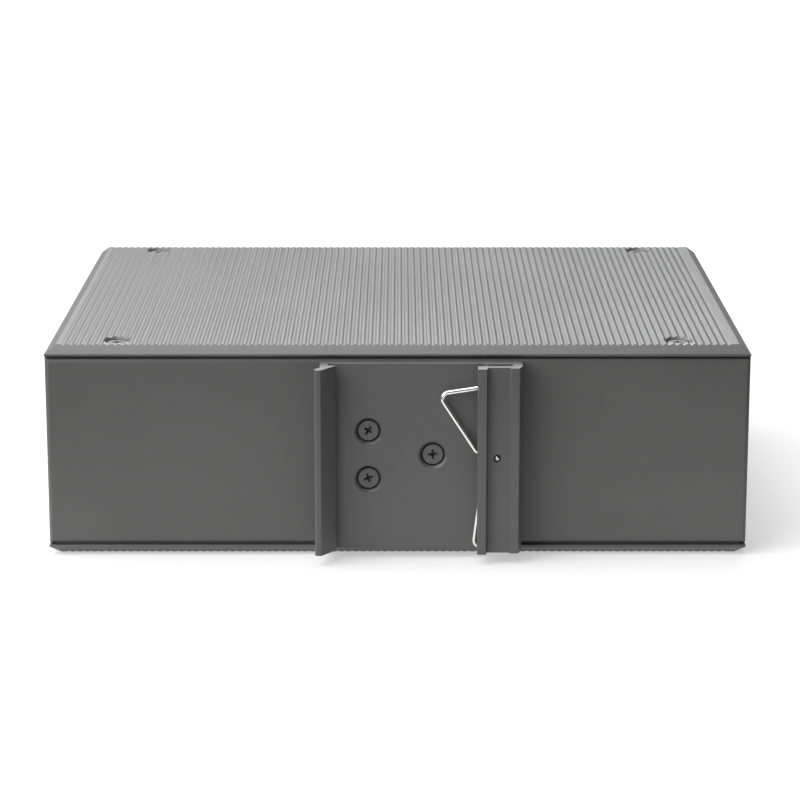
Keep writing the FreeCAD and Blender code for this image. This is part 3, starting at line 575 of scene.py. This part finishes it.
# ---------------------------------------------------------------- covers, housing and rail plate
def spring_hinge():
    return next(joint for joint in frame["joints"] if joint["name"] == "spring_swing")


def bevelled_cover(size, low, high):
    """The plain upper cover: an upright edge with a bevel above it and a set-back foot below it."""
    seat = low.z + size.step_height
    cover = slab("side_cover", (low.x, low.y, seat), (high.x, high.y, seat + size.edge_height))
    middle, half = (low + high) / 2, (high - low) / 2
    edit(cover)
    pick_facing(cover, 1)
    rise = high.z - seat - size.edge_height
    bpy.ops.mesh.extrude_region_move(TRANSFORM_OT_translate={"value": (0, 0, rise)})
    bpy.ops.transform.resize(value=(1 - size.bevel_inset / half.x, 1 - size.bevel_inset / half.y, 1),
                             center_override=(middle.x, middle.y, high.z))
    pick_facing(cover, -1)
    bpy.ops.mesh.inset(thickness=size.step_inset, depth=0)
    bpy.ops.mesh.extrude_region_move(TRANSFORM_OT_translate={"value": (0, 0, -size.step_height)})
    done("side_cover")
    clean(cover)
    return cover


def cut_grooves(cover, size, low, high):
    """Cut the row of tapered grooves that leaves the ribs."""
    margin = size.bevel_inset + size.rib_margin + size.groove_width / 2
    first, span = low.x + margin, high.x - low.x - 2 * margin
    slope = (size.groove_width - size.groove_floor) / 2 / size.groove_depth
    mouth, floor = size.groove_width + 2 * ABOVE * slope, high.z - size.groove_depth
    groove = slab("groove", (first - mouth / 2, low.y - MM, floor),
                  (first + mouth / 2, high.y + MM, high.z + ABOVE))
    edit(groove)
    pick_facing(groove, -1)
    bpy.ops.transform.resize(value=(size.groove_floor / mouth, 1, 1),
                             center_override=(first, (low.y + high.y) / 2, floor))
    done("groove")
    row = groove.modifiers.new("Row", "ARRAY")
    row.use_relative_offset = False
    row.use_constant_offset = True
    row.constant_offset_displace = (size.rib_pitch, 0, 0)
    row.count = int(span / size.rib_pitch) + 1
    apply(groove, row)
    cut_away(cover, groove)


class SWITCH_OT_side_covers(bpy.types.Operator):
    """Make the two ribbed covers with their bevels, shadow steps and countersinks"""

    bl_idname = "switch.side_covers"
    bl_label = "Side covers"

    def execute(self, context):
        size, look = settings("switch_covers"), settings("switch_finishes")
        low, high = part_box("side_cover_upper")
        cover = bevelled_cover(size, low, high)
        cut_grooves(cover, size, low, high)
        round_edges(cover, size.rounding, angle=30)
        countersink(cover, "cover_screws_upper", UP, high.z)
        smooth(cover)
        coat = paint("Cover coat", look.cover_paint, look.cover_roughness)
        lower = placed(cover, "cover_lower", Vector((0, 0, 0)), UP)
        top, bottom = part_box("side_cover_upper")[1].z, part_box("side_cover_lower")[0].z
        take_up(lower)
        bpy.ops.object.mode_set(mode="EDIT")
        bpy.ops.mesh.select_all(action="SELECT")
        bpy.ops.transform.resize(value=(1, 1, -1), center_override=(0, 0, (top + bottom) / 2))
        bpy.ops.mesh.normals_make_consistent(inside=False)
        bpy.ops.object.mode_set(mode="OBJECT")
        wear(cover, coat, "cover", "case", "side_cover_upper")
        wear(lower, coat, "cover", "case", "side_cover_lower")
        cover.name = cover.data.name = "cover_upper"
        return {"FINISHED"}


class SWITCH_OT_housing(bpy.types.Operator):
    """Round the edges of the folded housing and the front panel and coat them"""

    bl_idname = "switch.housing"
    bl_label = "Housing and front panel"

    def execute(self, context):
        look, size = settings("switch_finishes"), settings("switch_sheets")
        coat = paint("Housing coat", look.case_paint, look.paint_roughness)
        for node in ("housing", "front_panel"):
            piece = copy_of(node, node + "_sheet")
            if node == "front_panel":
                countersink(piece, "front_panel_screws", FRONT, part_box(node)[1].y)
            round_edges(piece, size.housing_round)
            smooth(piece)
            wear(piece, coat, "case", "case", node)
        return {"FINISHED"}


class SWITCH_OT_rail_plate(bpy.types.Operator):
    """Round the edges of the extruded rail plate and coat it"""

    bl_idname = "switch.rail_plate"
    bl_label = "Rail plate"

    def execute(self, context):
        look, size = settings("switch_finishes"), settings("switch_sheets")
        piece = copy_of("din_plate", "rail_plate")
        countersink(piece, "din_plate_screws", REAR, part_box("housing")[0].y - size.plate_base)
        spot = Vector(spring_hinge()["pos_m"])
        spot.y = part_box("housing")[0].y - size.clip_front
        radius = size.stake_well / 2
        well = turned("well", [(radius, -size.well_depth), (radius, ABOVE)], sides=48)
        cut_away(piece, placed(well, "well_tool", spot, REAR))
        bpy.data.objects.remove(well)
        wide, top = size.stake_end, -0.08 * MM
        dome = turned("dome", [(wide, -size.well_depth - 0.15 * MM), (wide, top - 0.22 * MM),
                               (wide * 0.8, top - 0.08 * MM), (wide * 0.4, top)], sides=32)
        end = placed(dome, "stake_end", spot, REAR)
        bpy.data.objects.remove(dome)
        smooth(end, 60)
        bare = finish("Bare stake", (0.62, 0.61, 0.60), 0.25, metallic=1.0, spread=0.05, bump=0.1,
                      Grain=0.0002, Patch=0.002)
        wear(end, bare, "plate", "case")
        round_edges(piece, size.plate_round)
        smooth(piece)
        wear(piece, paint("Plate coat", look.plate_paint, look.paint_roughness), "plate", "case", "din_plate")
        return {"FINISHED"}


# ---------------------------------------------------------------- wire spring
def leg(size, half, meet, tail, side):
    """Tail, outer bend and inner bend of one half of the wire, each as (along, across, radius)."""
    apex = meet + half / math.tan(size.slope)
    neck = meet + size.loop / math.tan(size.slope)
    return [(-tail, side * (half - (apex - tail) * math.tan(size.toe)), 0),
            (-apex, side * half, size.apex_bend), (-neck, side * size.loop, size.neck_bend)]


def spring_corners(size):
    """The wire from one tail to the other, with an almost round loop on the far side of the stake."""
    loop, nearly_round = size.loop, size.loop * 0.999
    return [*leg(size, size.upper, size.upper_meet, size.upper_tail, 1),
            (loop, loop, nearly_round), (loop, -loop, nearly_round),
            *reversed(leg(size, size.lower, size.lower_meet, size.lower_tail, -1))]


def rounded_path(corners):
    """Each corner as one or two knots of a curve: handle before, point and handle after."""
    knots = []
    for index, (along, across, radius) in enumerate(corners):
        spot = Vector((along, across))
        if not radius:
            knots.append((spot, spot, spot))
            continue
        before = (spot - Vector(corners[index - 1][:2])).normalized()
        after = (Vector(corners[index + 1][:2]) - spot).normalized()
        angle = before.angle(after)
        back, reach = radius * math.tan(angle / 2), 4 / 3 * math.tan(angle / 4) * radius
        start, end = spot - before * back, spot + after * back
        knots.append((start, start, start + before * reach))
        knots.append((end - after * reach, end, end))
    return knots


class SWITCH_OT_rail_spring(bpy.types.Operator):
    """Bend the round wire spring that holds the rail"""

    bl_idname = "switch.rail_spring"
    bl_label = "Rail spring"

    def execute(self, context):
        size = settings("switch_spring")
        hinge = spring_hinge()
        stake = Vector(hinge["pos_m"])
        turn = math.radians(hinge["range_deg"][1]) / 2      # at rest it hangs turned by half its swing

        def hung(flat):
            x = flat.x * math.cos(turn) - flat.y * math.sin(turn)
            z = flat.x * math.sin(turn) + flat.y * math.cos(turn)
            return stake + Vector((x, 0, z))

        let_go()
        bpy.ops.curve.primitive_bezier_curve_add(location=(0, 0, 0))
        wire = bpy.context.object
        path, knots = wire.data.splines[0], rounded_path(spring_corners(size))
        path.bezier_points.add(len(knots) - 2)
        for point, (left, middle, right) in zip(path.bezier_points, knots):
            point.handle_left_type = point.handle_right_type = "FREE"
            point.handle_left, point.co, point.handle_right = hung(left), hung(middle), hung(right)
        path.resolution_u = 12
        wire.data.bevel_depth = size.wire / 2
        wire.data.bevel_resolution = 7
        wire.data.use_fill_caps = True
        take_up(wire)
        bpy.ops.object.convert(target="MESH")
        piece = done("wire_spring")
        clean(piece)
        smooth(piece, 40)
        steel = finish("Spring steel", settings("switch_finishes").wire_steel, 0.22, metallic=1.0,
                       group=drawn_lines(), spread=0.05, rough_spread=0.06, bump=0.08, Grain=0.00015,
                       Patch=0.004, Stretch=(1.0, 1.0, 0.1))
        wear(piece, steel, "wire", "spring", "rail_spring")
        return {"FINISHED"}


# ---------------------------------------------------------------- screws
RECESS_TAPER = (0.35, 0.6, 1)           # size of the floor of a recess arm beside its mouth, along and across
CROSS_TURNS = (0.35, 1.0, 0.05, 0.6)    # angles of the crosses in radians, used one after another


def cross_recess(screw, size):
    """Cut a cross with a pointed middle into a screw head that faces up at the origin."""
    span, arm, depth = size.recess_span, size.recess_arm, size.recess_depth
    for turn in (0, math.pi / 2):
        blade = slab("blade", (-span / 2, -arm / 2, -depth), (span / 2, arm / 2, ABOVE))
        edit(blade)
        pick_facing(blade, -1)
        bpy.ops.transform.resize(value=RECESS_TAPER, center_override=(0, 0, -depth))
        done("blade")
        blade.data.transform(Matrix.Rotation(turn, 4, "Z"))
        cut_away(screw, blade)
    wide = arm * 0.95
    cut_away(screw, turned("point", [(arm / 5, -depth * 1.15), (wide, 0.05 * MM), (wide, ABOVE)], sides=8))


def countersunk(head, screw_length, size):
    """One countersunk cross recess screw with a rounded rim, its head at the origin facing up."""
    shank, rim = size.shank / 2, size.rim
    screw = turned("countersunk", [(shank * 0.8, -screw_length), (shank, -screw_length + shank * 0.2),
                                   (shank, -rim - (head - shank)), (head, -rim), (head, -rim * 0.45),
                                   (head - rim * 0.35, -rim * 0.1), (head - rim, 0)])
    cross_recess(screw, size)
    return screw


class SWITCH_OT_countersunk_screws(bpy.types.Operator):
    """Make the cross recess screws of the covers, the rail plate and the front panel"""

    bl_idname = "switch.countersunk_screws"
    bl_label = "Countersunk screws"

    def execute(self, context):
        size = settings("switch_screws")
        groups = (("cover_screws_upper", UP, "z"), ("cover_screws_lower", DOWN, "z"),
                  ("din_plate_screws", REAR, "y"), ("front_panel_screws", FRONT, "y"))
        for node, facing, along in groups:
            boxes = islands(node)
            low, high = boxes[0]
            extent = high - low
            master = countersunk(extent.x / 2 - size.head_gap, getattr(extent, along), size)
            copies = []
            for index, (low, high) in enumerate(boxes):
                spot = (low + high) / 2
                edge = high if facing in (UP, FRONT) else low
                setattr(spot, along, getattr(edge, along))
                turn = CROSS_TURNS[index % len(CROSS_TURNS)]
                copies.append(placed(master, f"{node}_{index}", spot, facing, turn))
            bpy.data.objects.remove(master)
            piece = joined(copies, node + "_set")
            smooth(piece, 35)
            wear(piece, dark_plating(), "fastener", "case", node)
        return {"FINISHED"}


class SWITCH_OT_ground_point(bpy.types.Operator):
    """Finish the ground screw"""

    bl_idname = "switch.ground_point"
    bl_label = "Ground point"

    def execute(self, context):
        size = settings("switch_screws")
        zinc = finish("Zinc plate", (0.62, 0.62, 0.60), 0.3, metallic=1.0, spread=0.1, Grain=0.0003,
                      Patch=0.003)
        low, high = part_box("ground_screw")
        wide, shank = (high.x - low.x) / 2, size.ground_shank / 2
        foot, seat = low.y - high.y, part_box("front_panel")[1].y - high.y
        screw = turned("ground_screw", [(shank * 0.8, foot), (shank, foot + shank * 0.2), (shank, seat),
                                        (wide, seat), (wide, seat * 0.45), (wide * 0.9, seat * 0.18),
                                        (wide * 0.7, 0)])
        cross_recess(screw, size)
        spot = (low + high) / 2
        spot.y = high.y
        piece = placed(screw, "ground_screw_pan", spot, FRONT)
        bpy.data.objects.remove(screw)
        smooth(piece, 35)
        wear(piece, zinc, "fastener", "case", "ground_screw")
        return {"FINISHED"}


# ---------------------------------------------------------------- ports and controls
def softened(node, name, material, slot, body, radius):
    """A copy of a packed solid with small round edges takes its place."""
    piece = copy_of(node, name)
    round_edges(piece, radius, angle=50)
    smooth(piece)
    wear(piece, material, slot, body, node)


def moulding(name, base, roughness=0.42):
    return finish(name, base, roughness, spread=0.05, bump=0.12, Grain=0.00025, Patch=0.008)


def black_moulding():
    return moulding("Black moulding", (0.022, 0.022, 0.023))


def sheet_steel():
    return finish("Tinned sheet", (0.70, 0.70, 0.68), 0.28, metallic=1.0, group=drawn_lines(), spread=0.07,
                  rough_spread=0.08, bump=0.1, Grain=0.0002, Patch=0.006, Stretch=(1.0, 0.06, 1.0))


def gilt():
    return finish("Gold flash", (0.86, 0.66, 0.30), 0.25, metallic=1.0, group=drawn_lines(), spread=0.08,
                  bump=0.08, Grain=0.0001, Patch=0.003, Stretch=(1.0, 0.1, 1.0))


class SWITCH_OT_network_jacks(bpy.types.Operator):
    """Finish the block of network jacks with its shield and contacts"""

    bl_idname = "switch.network_jacks"
    bl_label = "Network jacks"

    def execute(self, context):
        size = settings("switch_sheets")
        softened("rj45_block", "jack_insert", black_moulding(), "insert", "case", size.part_round)
        repaint("rj45_shield", sheet_steel())
        repaint("rj45_contacts", gilt())
        return {"FINISHED"}


class SWITCH_OT_fibre_cages(bpy.types.Operator):
    """Finish the two cages for fibre modules and the connectors inside them"""

    bl_idname = "switch.fibre_cages"
    bl_label = "Fibre cages"

    def execute(self, context):
        size = settings("switch_sheets")
        softened("sfp_cages", "fibre_cages", sheet_steel(), "shield", "case", size.cage_round)
        repaint("sfp_connectors", black_moulding())
        return {"FINISHED"}


class SWITCH_OT_power_header(bpy.types.Operator):
    """Finish the power header and its pins"""

    bl_idname = "switch.power_header"
    bl_label = "Power header"

    def execute(self, context):
        size = settings("switch_sheets")
        green = moulding("Green moulding", (0.04, 0.30, 0.11))
        softened("power_header", "power_socket", green, "header", "case", size.part_round)
        tin = finish("Tin", (0.78, 0.78, 0.76), 0.25, metallic=1.0, bump=0.1, Grain=0.0002, Patch=0.002)
        softened("power_pins", "power_socket_pins", tin, "contact", "case", size.pin_round)
        return {"FINISHED"}


class SWITCH_OT_small_controls(bpy.types.Operator):
    """Finish the slide switches, the reset button and the light guides"""

    bl_idname = "switch.small_controls"
    bl_label = "Small controls"

    def execute(self, context):
        size = settings("switch_sheets")
        white = moulding("White moulding", (0.80, 0.80, 0.78), 0.35)
        blue = moulding("Blue moulding", (0.03, 0.09, 0.26))
        softened("dip_switch", "slide_switch_body", blue, "switch_body", "case", size.part_round)
        softened("dip_lever_one", "slide_lever_one", white, "lever", "dip_one", size.part_round)
        softened("dip_lever_two", "slide_lever_two", white, "lever", "dip_two", size.part_round)
        softened("reset_button", "reset_cap", white, "lever", "reset", size.part_round)
        repaint("reset_switch", black_moulding())
        clear = finish("Clear moulding", (0.86, 0.90, 0.86), 0.2, spread=0.03, bump=0.05, Grain=0.0004,
                       Patch=0.003)
        clear.node_tree.nodes["Principled BSDF"].inputs["Transmission Weight"].default_value = 0.6
        softened("light_guides", "light_guide_set", clear, "guide", "case", size.part_round)
        repaint("status_leds", moulding("Lamp resin", (0.85, 0.82, 0.62), 0.25))
        return {"FINISHED"}


# ---------------------------------------------------------------- inside the housing
def solder_mask():
    """Green lacquer over fine copper traces."""
    group, tree, start = shader_group("Solder mask", [("Grain", "NodeSocketFloat", 0.0006),
                                                      ("Patch", "NodeSocketFloat", 0.02)])
    where = tree.add("ShaderNodeTexCoord").outputs["Object"]
    traces = tree.add("ShaderNodeTexVoronoi", distance="MANHATTAN", feature="F1")
    tree.join(where, traces.inputs["Vector"])
    tree.join(maths(tree, "DIVIDE", 1.0, start.outputs["Grain"]), traces.inputs["Scale"])
    height = ramp(tree, traces.outputs["Distance"], 0.25, 0.35)
    patch = scaled_noise(tree, start.outputs["Patch"])
    shade = blend_values(tree, height, patch, 0.4)
    outputs(group, tree, {"Height": height, "Shade": shade, "Patches": patch})
    return group


class SWITCH_OT_circuit_board(bpy.types.Operator):
    """Finish the board, what carries it and what stands on it"""

    bl_idname = "switch.circuit_board"
    bl_label = "Circuit board"

    def execute(self, context):
        repaint("main_board", finish("Board lacquer", (0.02, 0.16, 0.07), 0.35, group=solder_mask(),
                                     spread=0.25, bump=0.2, Grain=0.0012, Patch=0.02))
        brass = finish("Brass", (0.72, 0.55, 0.26), 0.3, metallic=1.0, group=drawn_lines(), spread=0.08,
                       Grain=0.0002, Patch=0.004, Stretch=(1.0, 1.0, 0.1))
        repaint("board_spacers", brass)
        repaint("board_screws", dark_plating())
        dark = moulding("Chip moulding", (0.035, 0.035, 0.037), 0.55)
        repaint("switch_chip", dark)
        repaint("magnetics", dark)
        repaint("thermal_pad", moulding("Soft silicone", (0.32, 0.40, 0.55), 0.7))
        repaint("heat_block", finish("Milled aluminium", (0.75, 0.75, 0.76), 0.35, metallic=1.0,
                                     group=drawn_lines(), Grain=0.0003, Patch=0.01, Stretch=(0.05, 1.0, 1.0)))
        repaint("capacitors", moulding("Film capacitor", (0.16, 0.18, 0.24), 0.4))
        repaint("inductor", moulding("Ferrite", (0.07, 0.07, 0.075), 0.7))
        return {"FINISHED"}


# ---------------------------------------------------------------- studio
# Place, aim and size of the face of each soft light, in metres.
OVERHEAD = {"spot": (-0.35, 0.1, 0.75), "aim": (-0.25, 0.05, 0), "width": 1.0, "height": 1.0}
KEY = {"spot": (-1.1, -0.8, 0.8), "aim": (0, 0, 0), "width": 1.4, "height": 1.2}
BACKLIGHT = {"spot": (0, 1.5, 0.98), "aim": (0, 0, 0.03), "width": 1.0, "height": 0.7}
FLOOR_GAP = 0.05 * MM                   # the floor lies this far under the switch
FAR_FLOOR = (0.06, 0.06, 0.06, 1.0)     # colour of the floor away from the switch, for reflected light alone
# The room changes its shade between these parts of the direction of sight.
TO_BACKDROP, TO_RIGHT, TO_UPPER = (-0.9, 0.3), (-0.8, 0.8), (0.2, 0.36)


def area_light(name, watts, spot, aim, width, height):
    let_go()
    bpy.ops.object.light_add(type="AREA", location=spot)
    lamp = bpy.context.object
    lamp.name = name
    lamp.rotation_euler = (Vector(aim) - Vector(spot)).to_track_quat("-Z", "Y").to_euler()
    lamp.data.shape = "RECTANGLE"
    lamp.data.size = width
    lamp.data.size_y = height
    lamp.data.energy = watts


def lit_floor(stage):
    """Floor paint that glows round and behind the switch, and all over where the camera sees it."""
    material = finish("Pale floor", stage.floor_shade, 0.8, spread=0.01, bump=0.02, Grain=0.002, Patch=0.2)
    surface = material.node_tree.nodes["Principled BSDF"].inputs
    surface["Specular IOR Level"].default_value = 0.0
    surface["Emission Color"].default_value = (1, 1, 1, 1)
    tree = Tree(material.node_tree)
    where = tree.add("ShaderNodeTexCoord").outputs["Object"]
    reach = tree.add("ShaderNodeVectorMath", operation="LENGTH")
    tree.join(where, reach.inputs[0])
    ahead = tree.add("ShaderNodeSeparateXYZ")
    tree.join(where, ahead.inputs[0])
    inner, outer = stage.pool_width / 2, stage.pool_width
    near = ramp(tree, reach.outputs["Value"], inner, outer, 1.0, 0.0)
    behind = ramp(tree, ahead.outputs["Y"], inner, outer, 0.0, stage.floor_behind)
    seen = tree.add("ShaderNodeLightPath").outputs["Is Camera Ray"]
    pool = maths(tree, "MAXIMUM", maths(tree, "MAXIMUM", near, behind), seen)
    tree.join(maths(tree, "MULTIPLY", pool, stage.floor_glow), surface["Emission Strength"])
    shade = tree.add("ShaderNodeMix", data_type="RGBA")
    shade.inputs["A"].default_value = FAR_FLOOR
    tree.join(pool, shade.inputs["Factor"])
    tree.join(surface["Base Color"].links[0].from_socket, shade.inputs["B"])
    tree.join(shade.outputs["Result"], surface["Base Color"])
    return material


def soft_room(stage):
    """A grey room, brightest behind and above the switch and darkest to its right."""
    room = bpy.data.worlds.new("Room")
    room.use_nodes = True
    tree = Tree(room.node_tree)
    parts = tree.add("ShaderNodeSeparateXYZ")
    tree.join(tree.add("ShaderNodeTexCoord").outputs["Generated"], parts.inputs[0])
    back = ramp(tree, parts.outputs["Y"], *TO_BACKDROP, stage.room_shade, stage.backdrop_shade)
    across = ramp(tree, parts.outputs["X"], *TO_RIGHT, stage.left_shade, stage.right_shade)
    upper = ramp(tree, parts.outputs["Z"], *TO_UPPER, stage.horizon_shade, 1.0)
    light = maths(tree, "MULTIPLY", maths(tree, "MULTIPLY", back, across), upper)
    background = room.node_tree.nodes["Background"].inputs
    tree.join(light, background["Strength"])
    background["Color"].default_value = (1, 1, 1, 1)
    return room


class SWITCH_OT_studio(bpy.types.Operator):
    """Set the pale floor, the soft lights and the camera"""

    bl_idname = "switch.studio"
    bl_label = "Studio"

    def execute(self, context):
        stage = settings("switch_stage")
        let_go()
        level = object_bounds()[0][2] - FLOOR_GAP
        bpy.ops.mesh.primitive_plane_add(size=stage.floor_width, location=(0, 0, level))
        floor = done("floor")
        floor.data.materials.append(lit_floor(stage))
        floor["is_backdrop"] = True
        area_light("overhead", stage.overhead_power, **OVERHEAD)
        area_light("key", stage.key_power, **KEY)
        area_light("backlight", stage.back_power, **BACKLIGHT)
        context.scene.world = soft_room(stage)

        let_go()
        bpy.ops.object.camera_add(location=(stage.camera_x, stage.camera_y, stage.camera_z),
                                  rotation=(math.pi / 2 - stage.camera_dip, 0, 0))
        camera = context.object
        camera.name = "camera"
        camera.data.lens = stage.lens
        camera.data.sensor_width = 36
        camera.data.shift_y = stage.shift_y
        camera.data.clip_start = 0.01
        camera.data.clip_end = 50
        context.scene.camera = camera
        context.scene.view_settings.view_transform = "Standard"
        return {"FINISHED"}


# ---------------------------------------------------------------- add-on
OPERATORS = (SWITCH_OT_studio, SWITCH_OT_side_covers, SWITCH_OT_housing, SWITCH_OT_rail_plate,
             SWITCH_OT_rail_spring, SWITCH_OT_countersunk_screws, SWITCH_OT_ground_point,
             SWITCH_OT_network_jacks, SWITCH_OT_fibre_cages, SWITCH_OT_power_header,
             SWITCH_OT_small_controls, SWITCH_OT_circuit_board)
GROUPS = (("switch_covers", CoverSizes), ("switch_sheets", SheetSizes), ("switch_screws", ScrewSizes),
          ("switch_spring", SpringSizes), ("switch_finishes", Finishes), ("switch_stage", StageSizes))


class SWITCH_PT_panel(bpy.types.Panel):
    """Lists the pieces of the switch and their sizes"""

    bl_idname = "SWITCH_PT_panel"
    bl_label = "Network switch"
    bl_space_type = "VIEW_3D"
    bl_region_type = "UI"
    bl_category = "Switch"

    def draw(self, context):
        for operator in OPERATORS:
            self.layout.operator(operator.bl_idname)
        for name, kind in GROUPS:
            box = self.layout.box()
            box.label(text=kind.__doc__)
            for label in kind.__annotations__:
                box.prop(getattr(context.scene, name), label)


def register():
    for name, kind in GROUPS:
        bpy.utils.register_class(kind)
        setattr(bpy.types.Scene, name, PointerProperty(type=kind))
    for kind in OPERATORS + (SWITCH_PT_panel,):
        bpy.utils.register_class(kind)


def unregister():
    for kind in (SWITCH_PT_panel,) + OPERATORS[::-1]:
        bpy.utils.unregister_class(kind)
    for name, kind in GROUPS[::-1]:
        delattr(bpy.types.Scene, name)
        bpy.utils.unregister_class(kind)


def main():
    register()
    for operator in OPERATORS:
        family, name = operator.bl_idname.split(".")
        getattr(getattr(bpy.ops, family), name)()


if __name__ == "__main__":
    main()
